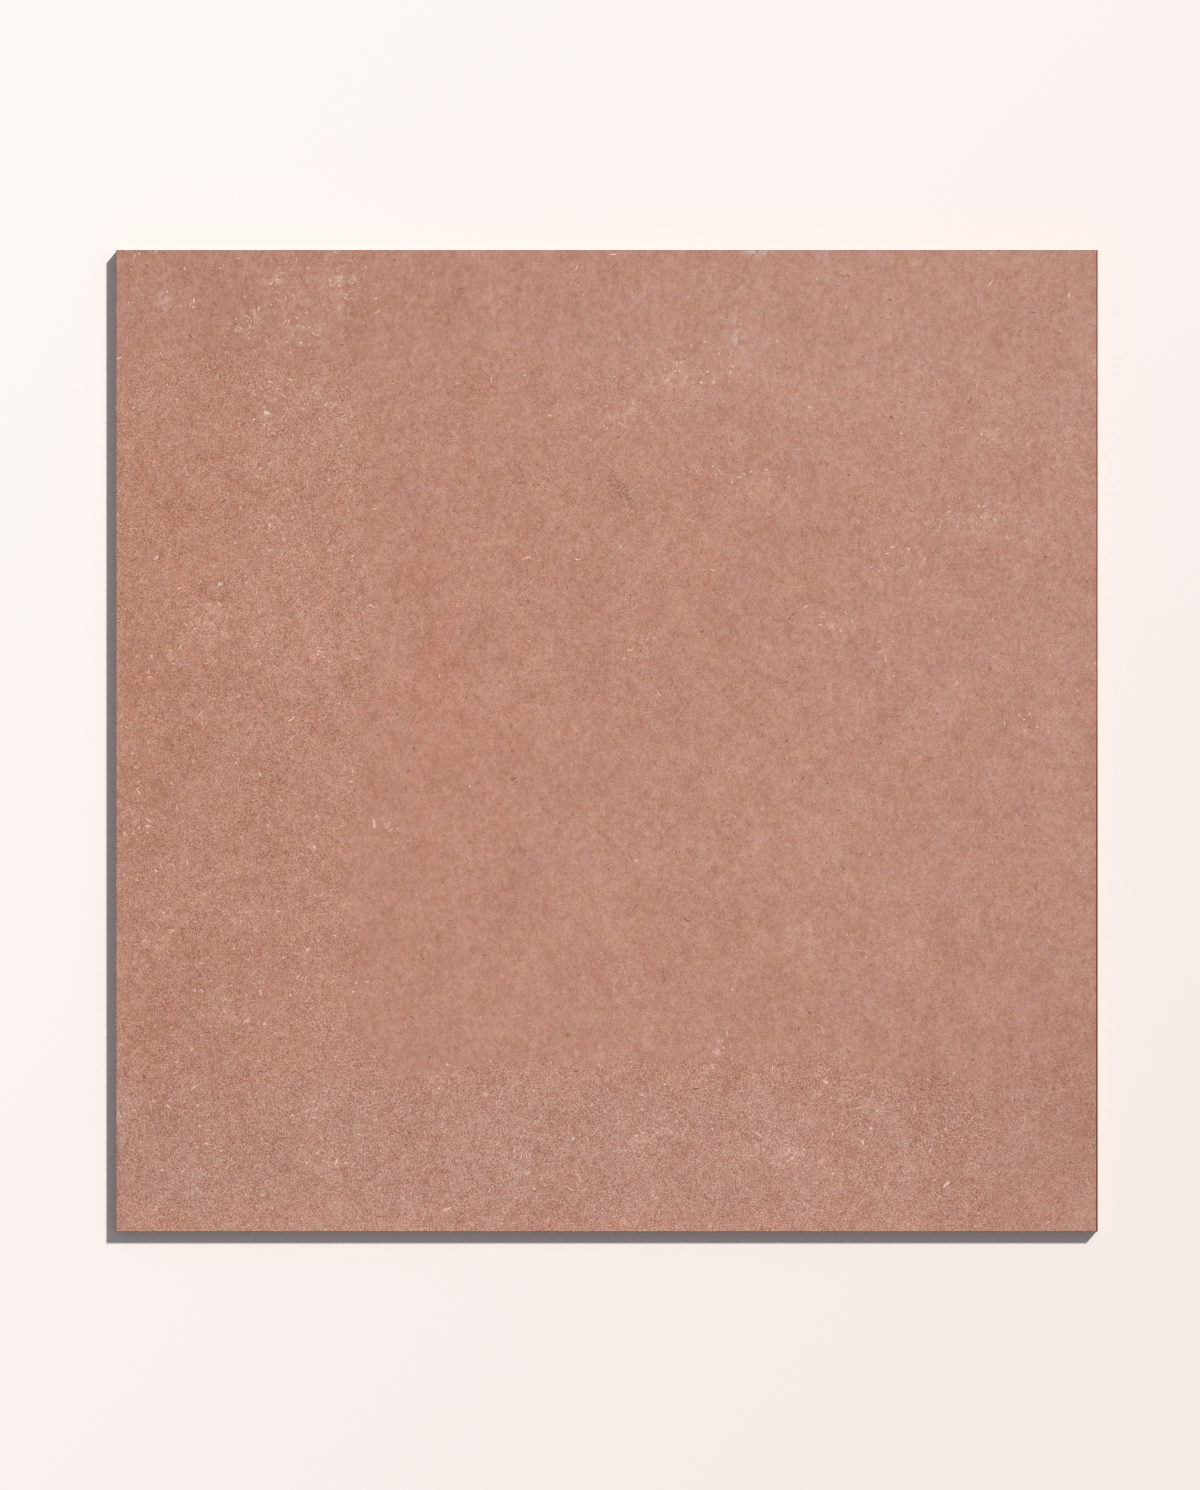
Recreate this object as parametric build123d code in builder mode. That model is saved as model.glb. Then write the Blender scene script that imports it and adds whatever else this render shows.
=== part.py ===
"""One rectified porcelain floor tile, dry-pressed and fired as a single piece.

The tile lies face up. Its origin is the centre of the back, on the plane of the rib crests,
with +X and +Y along the sides and +Z towards the face. All sizes are in millimetres.
"""

import os

from build123d import *

# The slab
tile_length = 600.0  # along X, edge to edge
tile_width = 600.0  # along Y, edge to edge
tile_thickness = 9.0  # from the rib crests to the face
face_arris = 0.3  # leg of the 45 degree arris ground round the face

# The keyed back: straight ribs along X, with shallow grooves between them for the bedding to grip
rib_spacing = 18.0  # wanted between the middles of neighbouring ribs, before it is fitted below
rib_width = 4.0  # across the crest of a rib
rib_height = 0.5  # from the floor of a groove to the rib crests
rib_flank_angle = 45.0  # slope of a rib's sides in degrees, so that the press punch draws clear
plain_border = 14.0  # flat rim between each edge along X and the first groove

# An even number of grooves fills the back between the borders, so that a rib runs along the middle
ribbed_width = tile_width - 2 * plain_border
groove_count = 2 * round((ribbed_width + rib_width) / (2 * rib_spacing))
rib_pitch = (ribbed_width + rib_width) / groove_count
groove_width = rib_pitch - rib_width

os.makedirs("parts", exist_ok=True)

with BuildPart() as porcelain_tile:
    # The pressed slab
    with BuildSketch(Plane.XY):
        Rectangle(tile_length, tile_width)
    extrude(amount=tile_thickness)

    # The arris of the four ground edges, round the face
    face = porcelain_tile.faces().sort_by(Axis.Z)[-1]
    chamfer(face.edges(), length=face_arris)

    # The grooves run out through the two end edges, and leave the ribs standing between them
    with BuildSketch(Plane.YZ):
        with GridLocations(rib_pitch, 0, groove_count, 1):
            Trapezoid(groove_width, rib_height, rib_flank_angle, align=(Align.CENTER, Align.MIN))
    extrude(amount=tile_length / 2, both=True, mode=Mode.SUBTRACT)

porcelain_tile.part.label = "porcelain_tile"
export_step(porcelain_tile.part, "parts/porcelain_tile.step")

print(f"{groove_count} grooves at {rib_pitch:.2f} mm, volume {porcelain_tile.part.volume / 1000:.1f} cm3")
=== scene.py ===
"""One rectified porcelain floor tile, dressed: its clouded matte face, ground edges and ribbed back.

The tile lies face up on a pale floor, and the camera looks straight down on it. Lengths are in metres in
the part's own frame, unless a name ends in _mm or _px. +X is the right of the picture and +Y is its top.
"""

import logging
import math
from dataclasses import dataclass
from enum import Enum, IntEnum
from typing import Any

import bpy
import numpy as np
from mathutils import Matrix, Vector

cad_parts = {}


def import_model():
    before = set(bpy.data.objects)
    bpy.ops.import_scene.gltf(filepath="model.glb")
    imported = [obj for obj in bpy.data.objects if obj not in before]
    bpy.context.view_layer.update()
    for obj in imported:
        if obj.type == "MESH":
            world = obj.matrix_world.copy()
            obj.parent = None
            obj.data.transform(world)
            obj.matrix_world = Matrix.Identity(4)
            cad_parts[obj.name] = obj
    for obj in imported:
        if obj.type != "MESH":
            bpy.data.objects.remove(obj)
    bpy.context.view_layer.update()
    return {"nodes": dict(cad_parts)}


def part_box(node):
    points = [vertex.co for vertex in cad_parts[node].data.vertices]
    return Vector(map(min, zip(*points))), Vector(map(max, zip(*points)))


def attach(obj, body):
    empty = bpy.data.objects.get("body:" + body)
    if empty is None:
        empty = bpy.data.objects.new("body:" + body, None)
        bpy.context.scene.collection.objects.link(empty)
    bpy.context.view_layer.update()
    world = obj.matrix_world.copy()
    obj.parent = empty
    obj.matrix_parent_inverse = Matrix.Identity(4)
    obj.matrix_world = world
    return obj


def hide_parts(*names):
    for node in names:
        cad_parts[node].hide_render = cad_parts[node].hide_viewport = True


frame: dict[str, Any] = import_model()

MM = 0.001
TILE_NODE = "porcelain_tile"
log = logging.getLogger("porcelain_tile")

# Where a Mix node's colours go in and come out, because its other kinds of value have the same names
MIX_SHARE = 0
MIX_UNDER = 6
MIX_OVER = 7
MIX_OUT = 2


def linear(hex_colour: str) -> tuple[float, float, float, float]:
    """Turn an sRGB hex colour to linear light.

    Args:
        hex_colour: a hash sign and six hex digits.

    Returns:
        Red, green and blue in linear light, and an alpha of 1.
    """
    shares = [int(hex_colour[start : start + 2], 16) / 255 for start in (1, 3, 5)]
    red, green, blue = (s / 12.92 if s <= 0.04045 else ((s + 0.055) / 1.055) ** 2.4 for s in shares)
    return red, green, blue, 1.0


def add_node(
    tree: bpy.types.NodeTree, kind: str, inputs: dict[str | int, Any] | None = None, **settings: Any
) -> bpy.types.Node:
    """Add one node to a tree, with its settings and what goes into it.

    Args:
        tree: the material's node tree.
        kind: the node's type, without the leading "ShaderNode".
        inputs: what each input gets, by its name or number: a value, or an output to link from.
        settings: the node's own properties.

    Returns:
        The new node.
    """
    node = tree.nodes.new("ShaderNode" + kind)
    for name, value in settings.items():
        setattr(node, name, value)
    for key, value in (inputs or {}).items():
        if isinstance(value, bpy.types.NodeSocket):
            tree.links.new(value, node.inputs[key])
        else:
            node.inputs[key].default_value = value
    return node


class Mark(Enum):
    """What varies over the face by place. Each value names the mesh attribute that carries it."""

    PALE = "pale_clay_share"
    WARM = "warm_clay_share"
    OCHRE = "ochre_clay_share"
    GRIT = "grit_share"
    FLECKS = "fleck_share"
    SHADE = "shade_share"
    CHALK = "chalk_share"
    SOOT = "soot_share"


class Side(Enum):
    """The four ground edges, each by the direction that it faces."""

    FRONT = (0, -1)
    RIGHT = (1, 0)
    REAR = (0, 1)
    LEFT = (-1, 0)


class Stretch(IntEnum):
    """The stretches of the tile's skin, by the number that each of their faces is kept with."""

    FACE = 0
    FRONT = 1
    RIGHT = 2
    REAR = 3
    LEFT = 4
    BACK = 5


@dataclass(frozen=True)
class SoftPatch:
    """An oval patch of the face with a soft rim, placed from the middle of the tile."""

    mark: Mark
    amount: float
    x_mm: float
    y_mm: float
    reach_x_mm: float
    reach_y_mm: float
    turn_deg: float = 0.0

    def over(self, x_mm: np.ndarray, y_mm: np.ndarray) -> np.ndarray:
        """Spread the patch over points of the face.

        Args:
            x_mm: the points' places along X.
            y_mm: the points' places along Y.

        Returns:
            The patch's amount at each point, which halves at its reach and then dies away.
        """
        turn = math.radians(self.turn_deg)
        dx, dy = x_mm - self.x_mm, y_mm - self.y_mm
        along = (dx * math.cos(turn) + dy * math.sin(turn)) / self.reach_x_mm
        across = (dy * math.cos(turn) - dx * math.sin(turn)) / self.reach_y_mm
        return self.amount * 0.5 ** (along**2 + across**2)


@dataclass(frozen=True)
class SoftBand:
    """A straight band of the face that fades in over some distance, and may run off the tile's edges."""

    mark: Mark
    amount: float
    left_mm: float
    right_mm: float
    low_mm: float
    high_mm: float
    fade_mm: float

    def over(self, x_mm: np.ndarray, y_mm: np.ndarray) -> np.ndarray:
        """Spread the band over points of the face.

        Args:
            x_mm: the points' places along X.
            y_mm: the points' places along Y.

        Returns:
            The band's amount at each point.
        """
        share = np.ones_like(x_mm)
        for inside in (x_mm - self.left_mm, self.right_mm - x_mm, y_mm - self.low_mm, self.high_mm - y_mm):
            ramp = np.clip(inside / self.fade_mm + 0.5, 0, 1)
            share = share * ramp * ramp * (3 - 2 * ramp)
        return self.amount * share


# The clays were blended unevenly and the press was filled in strokes, so the face has broad pale and deep
# clouds, a coarser grit along its left and lower sides, and short chalky scuffs in small groups.
OFF_TILE_MM = 400.0
FACE_MARKS: tuple[SoftPatch | SoftBand, ...] = (
    # Pale clouds
    SoftPatch(Mark.PALE, 0.11, 190, 60, 130, 260),
    SoftPatch(Mark.PALE, 0.16, 170, 215, 110, 45),
    SoftBand(Mark.PALE, 0.15, 0, OFF_TILE_MM, 195, OFF_TILE_MM, 60),
    SoftBand(Mark.PALE, 0.04, -50, OFF_TILE_MM, -OFF_TILE_MM, OFF_TILE_MM, 60),
    SoftPatch(Mark.PALE, 0.18, 40, -25, 40, 28),
    SoftPatch(Mark.PALE, 0.10, 25, -125, 30, 30),
    SoftPatch(Mark.PALE, 0.12, 155, 172, 42, 30),
    SoftPatch(Mark.PALE, 0.10, -125, 125, 25, 25),
    SoftPatch(Mark.PALE, 0.10, -22, 75, 25, 25),
    SoftPatch(Mark.PALE, 0.19, 138, 213, 24, 22),
    SoftPatch(Mark.PALE, 0.15, 44, 225, 30, 28),
    SoftPatch(Mark.PALE, 0.17, 245, 140, 18, 18),
    SoftPatch(Mark.PALE, 0.15, -137, 217, 35, 16),
    SoftPatch(Mark.PALE, 0.28, -193, 274, 14, 11),
    SoftPatch(Mark.PALE, 0.22, -162, 274, 12, 14),
    SoftPatch(Mark.PALE, 0.22, -213, 249, 12, 8),
    SoftPatch(Mark.PALE, 0.18, -176, 247, 11, 9),
    SoftPatch(Mark.PALE, 0.16, -162, 199, 10, 12),
    SoftPatch(Mark.PALE, 0.14, 271, -256, 14, 10),
    SoftPatch(Mark.PALE, 0.27, -190, 64, 24, 38),
    SoftPatch(Mark.PALE, 0.08, -244, 78, 18, 16),
    SoftPatch(Mark.PALE, 0.11, -57, 36, 22, 22),
    SoftPatch(Mark.PALE, 0.19, -5, -86, 24, 24),
    SoftPatch(Mark.PALE, 0.15, 94, -32, 24, 36),
    SoftPatch(Mark.PALE, 0.15, 150, -108, 34, 34),
    SoftPatch(Mark.PALE, 0.15, 258, 42, 20, 34),
    SoftPatch(Mark.PALE, 0.15, -175, -240, 22, 26),
    SoftPatch(Mark.PALE, 0.11, 90, -258, 50, 14),
    # Deep clouds
    SoftPatch(Mark.PALE, -0.15, -285, -20, 50, 330),
    SoftPatch(Mark.PALE, -0.15, -274, 149, 22, 30),
    SoftPatch(Mark.PALE, -0.19, -256, -2, 24, 26),
    SoftPatch(Mark.PALE, -0.22, -260, -165, 26, 60),
    SoftPatch(Mark.PALE, -0.17, -215, 262, 75, 38),
    SoftPatch(Mark.PALE, -0.16, -236, 284, 18, 16),
    SoftPatch(Mark.PALE, -0.14, -140, 256, 16, 13),
    SoftPatch(Mark.PALE, -0.12, -196, 229, 20, 7),
    SoftPatch(Mark.PALE, -0.15, -88, 14, 21, 20),
    SoftPatch(Mark.PALE, -0.11, -75, 60, 40, 50),
    SoftPatch(Mark.PALE, -0.19, 217, 160, 15, 14),
    SoftPatch(Mark.PALE, -0.08, 72, 50, 34, 40),
    SoftPatch(Mark.PALE, -0.12, -215, 25, 30, 25),
    SoftPatch(Mark.PALE, -0.12, -190, -165, 34, 34),
    SoftPatch(Mark.PALE, -0.10, 130, -275, 35, 20),
    SoftPatch(Mark.PALE, -0.15, 74, -135, 24, 20),
    SoftPatch(Mark.PALE, -0.26, 250, -200, 70, 60),
    # Redder and greyer clay
    SoftBand(Mark.WARM, -0.72, -OFF_TILE_MM, 120, -287, -212, 14),
    SoftBand(Mark.WARM, -0.42, 120, OFF_TILE_MM, -287, -212, 14),
    SoftBand(Mark.WARM, -0.20, -OFF_TILE_MM, OFF_TILE_MM, -OFF_TILE_MM, -287, 14),
    SoftBand(Mark.WARM, 0.20, -OFF_TILE_MM, -240, -140, 100, 40),
    SoftBand(Mark.WARM, -0.05, -OFF_TILE_MM, 0, 215, OFF_TILE_MM, 60),
    SoftBand(Mark.WARM, -0.36, 0, OFF_TILE_MM, 190, OFF_TILE_MM, 90),
    SoftPatch(Mark.WARM, 0.45, -95, 20, 60, 130),
    SoftPatch(Mark.WARM, 0.45, -250, 115, 50, 70),
    SoftPatch(Mark.WARM, 0.30, -92, 5, 26, 22),
    SoftPatch(Mark.WARM, 0.18, 35, 110, 45, 130),
    SoftPatch(Mark.WARM, -0.20, 275, 60, 70, 260),
    # Yellower clay
    SoftBand(Mark.OCHRE, 0.36, -OFF_TILE_MM, OFF_TILE_MM, -OFF_TILE_MM, OFF_TILE_MM, 60),
    SoftBand(Mark.OCHRE, 0.11, -OFF_TILE_MM, -151, -OFF_TILE_MM, 240, 24),
    SoftBand(Mark.OCHRE, -0.18, -OFF_TILE_MM, OFF_TILE_MM, -OFF_TILE_MM, -208, 30),
    SoftPatch(Mark.OCHRE, 0.14, -240, 130, 60, 65),
    SoftPatch(Mark.OCHRE, 0.10, -280, 60, 25, 90),
    SoftPatch(Mark.OCHRE, 0.12, -20, 145, 70, 45),
    SoftPatch(Mark.OCHRE, -0.12, 190, 210, 130, 110),
    SoftPatch(Mark.OCHRE, -0.06, 250, 0, 90, 160),
    # Painted shade: the face darkens towards the corners and the left side, where the light falls off
    SoftPatch(Mark.SHADE, 0.035, -230, 290, 110, 60),
    SoftPatch(Mark.SHADE, 0.045, 290, -230, 90, 90),
    SoftPatch(Mark.SHADE, 0.030, -290, -60, 110, 240),
    # Grit
    SoftBand(Mark.GRIT, 0.48, -OFF_TILE_MM, OFF_TILE_MM, -OFF_TILE_MM, OFF_TILE_MM, 60),
    SoftBand(Mark.GRIT, 0.36, -OFF_TILE_MM, -151, -OFF_TILE_MM, 229, 14),
    SoftBand(Mark.GRIT, 0.49, -151, 235, -OFF_TILE_MM, -195, 14),
    SoftBand(Mark.GRIT, 0.16, -OFF_TILE_MM, -151, -OFF_TILE_MM, -195, 30),
    SoftBand(Mark.GRIT, 0.20, 235, OFF_TILE_MM, -OFF_TILE_MM, -195, 14),
    SoftBand(Mark.GRIT, -0.10, -151, 0, -195, 15, 20),
    SoftBand(Mark.GRIT, 0.06, -151, 60, 15, 229, 20),
    SoftBand(Mark.GRIT, -0.14, -OFF_TILE_MM, OFF_TILE_MM, 229, OFF_TILE_MM, 14),
    SoftBand(Mark.GRIT, 0.14, -OFF_TILE_MM, -151, 229, OFF_TILE_MM, 14),
    # Groups of chalky flecks, and a few more all over the left and lower sides
    SoftBand(Mark.FLECKS, 0.07, -OFF_TILE_MM, -151, -OFF_TILE_MM, OFF_TILE_MM, 40),
    SoftBand(Mark.FLECKS, 0.05, -151, 235, -OFF_TILE_MM, -195, 30),
    SoftPatch(Mark.FLECKS, 0.9, -192, 275, 11, 9, 20),
    SoftPatch(Mark.FLECKS, 0.8, -163, 274, 8, 13),
    SoftPatch(Mark.FLECKS, 0.9, -213, 250, 11, 6, 15),
    SoftPatch(Mark.FLECKS, 0.7, -176, 248, 9, 8),
    SoftPatch(Mark.FLECKS, 0.5, -180, 213, 10, 6),
    SoftPatch(Mark.FLECKS, 0.7, -198, 196, 6, 8),
    SoftPatch(Mark.FLECKS, 0.5, -161, 198, 7, 8),
    SoftPatch(Mark.FLECKS, 0.8, -211, 172, 14, 7, 15),
    SoftPatch(Mark.FLECKS, 0.6, -205, 134, 12, 7),
    SoftPatch(Mark.FLECKS, 0.9, -243, 74, 11, 6, -30),
    SoftPatch(Mark.FLECKS, 0.6, -234, 92, 8, 4),
    SoftPatch(Mark.FLECKS, 0.7, -270, 48, 9, 4, 30),
    SoftPatch(Mark.FLECKS, 0.8, -181, 55, 7, 4, -25),
    SoftPatch(Mark.FLECKS, 0.6, -291, -55, 4, 10),
    SoftPatch(Mark.FLECKS, 0.6, -132, -51, 8, 5),
    SoftPatch(Mark.FLECKS, 0.6, -281, -122, 7, 12, -40),
    SoftPatch(Mark.FLECKS, 0.6, -234, -160, 14, 9),
    SoftPatch(Mark.FLECKS, 0.9, 5, 196, 15, 6, 45),
    SoftPatch(Mark.FLECKS, 0.7, 28, 222, 16, 7, 30),
    SoftPatch(Mark.FLECKS, 0.5, 68, 230, 24, 4, 15),
    SoftPatch(Mark.FLECKS, 0.5, 62, 168, 22, 4),
    SoftPatch(Mark.FLECKS, 0.7, 258, 190, 26, 4, -5),
    SoftPatch(Mark.FLECKS, 0.9, 222, 141, 28, 5, -12),
    SoftPatch(Mark.FLECKS, 0.5, 172, 114, 15, 6, -30),
    SoftPatch(Mark.FLECKS, 0.6, 22, 56, 6, 9),
    SoftPatch(Mark.FLECKS, 0.6, 138, 71, 18, 6, -30),
    SoftPatch(Mark.FLECKS, 1.0, 214, 20, 12, 3, -15),
    SoftPatch(Mark.FLECKS, 0.6, 251, 14, 10, 3, 55),
    SoftPatch(Mark.FLECKS, 1.0, 60, -193, 20, 5, 50),
    SoftPatch(Mark.FLECKS, 0.7, -97, -203, 12, 6, -35),
    SoftPatch(Mark.FLECKS, 0.8, -176, -225, 9, 5),
    SoftPatch(Mark.FLECKS, 0.6, -165, -255, 12, 6),
    SoftPatch(Mark.FLECKS, 0.7, -51, -262, 12, 8),
    SoftPatch(Mark.FLECKS, 0.8, 27, -238, 13, 4),
    SoftPatch(Mark.FLECKS, 0.9, 112, -256, 20, 5, -8),
    SoftPatch(Mark.FLECKS, 0.6, 166, -219, 20, 3),
    SoftPatch(Mark.FLECKS, 0.5, 181, -260, 9, 6),
    # Rubbed chalk and one sooty thumb-sized smudge
    SoftPatch(Mark.CHALK, 0.5, 77, 249, 3.5, 4.5),
    SoftPatch(Mark.CHALK, 0.2, 74, 267, 3, 14),
    SoftPatch(Mark.CHALK, 0.7, 87, 298, 7, 3),
    SoftPatch(Mark.CHALK, 0.4, -281, 266, 3, 6),
    SoftPatch(Mark.SOOT, 1.0, 7, 154, 13, 5, -48),
)


@dataclass(frozen=True)
class FleckLayer:
    """One scatter of small flecks or short strokes, a chance one in each cell of an uneven net."""

    cell_long_mm: float
    cell_short_mm: float
    turn_deg: float
    smallest: float
    largest: float
    sparse: float
    crowded: float
    faintest: float = 0.35

    def spread(self, tree: bpy.types.NodeTree, place: bpy.types.NodeSocket) -> bpy.types.NodeSocket:
        """Add the nodes of the scatter.

        Args:
            tree: the material's node tree.
            place: the point of the surface, in metres.

        Returns:
            How much of a fleck there is at the point, from 0 to 1.
        """
        cell = (self.cell_long_mm * MM, self.cell_short_mm * MM, 1.0)
        turn = (0.0, 0.0, math.radians(self.turn_deg))
        net = add_node(
            tree, "Mapping", {"Vector": place, "Rotation": turn, "Scale": cell}, vector_type="TEXTURE"
        )
        cells = add_node(
            tree, "TexVoronoi", {"Vector": net.outputs[0], "Scale": 1.0}, voronoi_dimensions="2D"
        )
        chance = add_node(tree, "SeparateColor", {"Color": cells.outputs["Color"]})
        crowd = add_node(tree, "Attribute", attribute_name=Mark.FLECKS.value)
        density = add_node(
            tree, "MapRange", {"Value": crowd.outputs["Fac"], "To Min": self.sparse, "To Max": self.crowded}
        )
        there = add_node(
            tree, "Math", {0: chance.outputs["Red"], 1: density.outputs[0]}, operation="LESS_THAN"
        )
        rim = add_node(
            tree,
            "MapRange",
            {"Value": chance.outputs["Green"], "To Min": self.smallest, "To Max": self.largest},
        )
        body = add_node(
            tree,
            "MapRange",
            {"Value": cells.outputs["Distance"], "From Min": rim.outputs[0], "From Max": 0.0},
            interpolation_type="SMOOTHSTEP",
        )
        strength = add_node(tree, "MapRange", {"Value": chance.outputs["Blue"], "To Min": self.faintest})
        shown = add_node(tree, "Math", {0: body.outputs[0], 1: strength.outputs[0]}, operation="MULTIPLY")
        return add_node(
            tree, "Math", {0: shown.outputs[0], 1: there.outputs[0]}, operation="MULTIPLY"
        ).outputs[0]


class Finish:
    """What every finish shares: a material whose surface its own nodes give."""

    name: str

    def surface(self, tree: bpy.types.NodeTree) -> bpy.types.NodeSocket:
        """Add the finish's nodes and give the shader that they end in."""
        raise NotImplementedError

    def material(self) -> bpy.types.Material:
        """Make the finish's material."""
        material = bpy.data.materials.new(self.name)
        material.use_nodes = True
        material.node_tree.nodes.clear()
        add_node(material.node_tree, "OutputMaterial", {"Surface": self.surface(material.node_tree)})
        return material


@dataclass(frozen=True)
class Mottle:
    """A soft, uneven pattern of the clay, by how far apart its spots are and how strongly it shows."""

    spot_mm: float
    depth: float
    detail: float = 0.0
    stretch: float = 1.0
    # The pattern leans the way that the powder was drawn over the mould, and it is cut aslant through solid
    # noise, because a straight cut shows rows of the noise's own net
    turn_deg: tuple[float, float, float] = (35.0, 25.0, 20.0)

    def spread(self, tree: bpy.types.NodeTree, place: bpy.types.NodeSocket) -> bpy.types.NodeSocket:
        """Add the nodes of the pattern.

        Args:
            tree: the material's node tree.
            place: the point of the surface, in metres.

        Returns:
            The pattern at the point, which swings either side of 0 and stays within its depth.
        """
        spot = self.spot_mm * MM
        net = add_node(
            tree,
            "Mapping",
            {
                "Vector": place,
                "Rotation": [math.radians(turn) for turn in self.turn_deg],
                "Scale": (spot, spot * self.stretch, spot),
            },
            vector_type="TEXTURE",
        )
        noise = add_node(
            tree,
            "TexNoise",
            {"Vector": net.outputs[0], "Scale": 1.0, "Detail": self.detail, "Roughness": 1.0},
        )
        return add_node(
            tree, "MapRange", {"Value": noise.outputs["Fac"], "To Min": -self.depth, "To Max": self.depth}
        ).outputs[0]


@dataclass(frozen=True)
class DarkRimLine:
    """A thin dark line painted on the face just inside the right side's arris, fuller towards the front."""

    colour: str = "#70432F"
    inset_mm: float = 0.35
    width_mm: float = 0.75
    rear_cover: float = 0.6
    front_cover: float = 1.0
    # Where along Y the cover turns from the rear's to the front's
    turn_mm: tuple[float, float] = (20.0, -30.0)

    def lay(
        self, tree: bpy.types.NodeTree, place: bpy.types.NodeSocket, colour: bpy.types.NodeSocket
    ) -> bpy.types.NodeSocket:
        """Lay the line on the face.

        Args:
            tree: the material's node tree.
            place: the point of the face, in metres.
            colour: the face's own colour.

        Returns:
            The colour with the line on it.
        """
        half_width = self.width_mm / 2 * MM
        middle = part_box(TILE_NODE)[1].x - self.inset_mm * MM - half_width
        rear, front = (end * MM for end in self.turn_mm)
        axes = add_node(tree, "SeparateXYZ", {0: place})
        inside = add_node(
            tree, "Math", {0: axes.outputs["X"], 1: middle, 2: half_width}, operation="COMPARE"
        ).outputs[0]
        cover = add_node(
            tree,
            "MapRange",
            {
                "Value": axes.outputs["Y"],
                "From Min": rear,
                "From Max": front,
                "To Min": self.rear_cover,
                "To Max": self.front_cover,
            },
        ).outputs[0]
        share = add_node(tree, "Math", {0: inside, 1: cover}, operation="MULTIPLY").outputs[0]
        return add_node(
            tree,
            "Mix",
            {MIX_SHARE: share, MIX_UNDER: colour, MIX_OVER: linear(self.colour)},
            data_type="RGBA",
        ).outputs[MIX_OUT]


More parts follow.
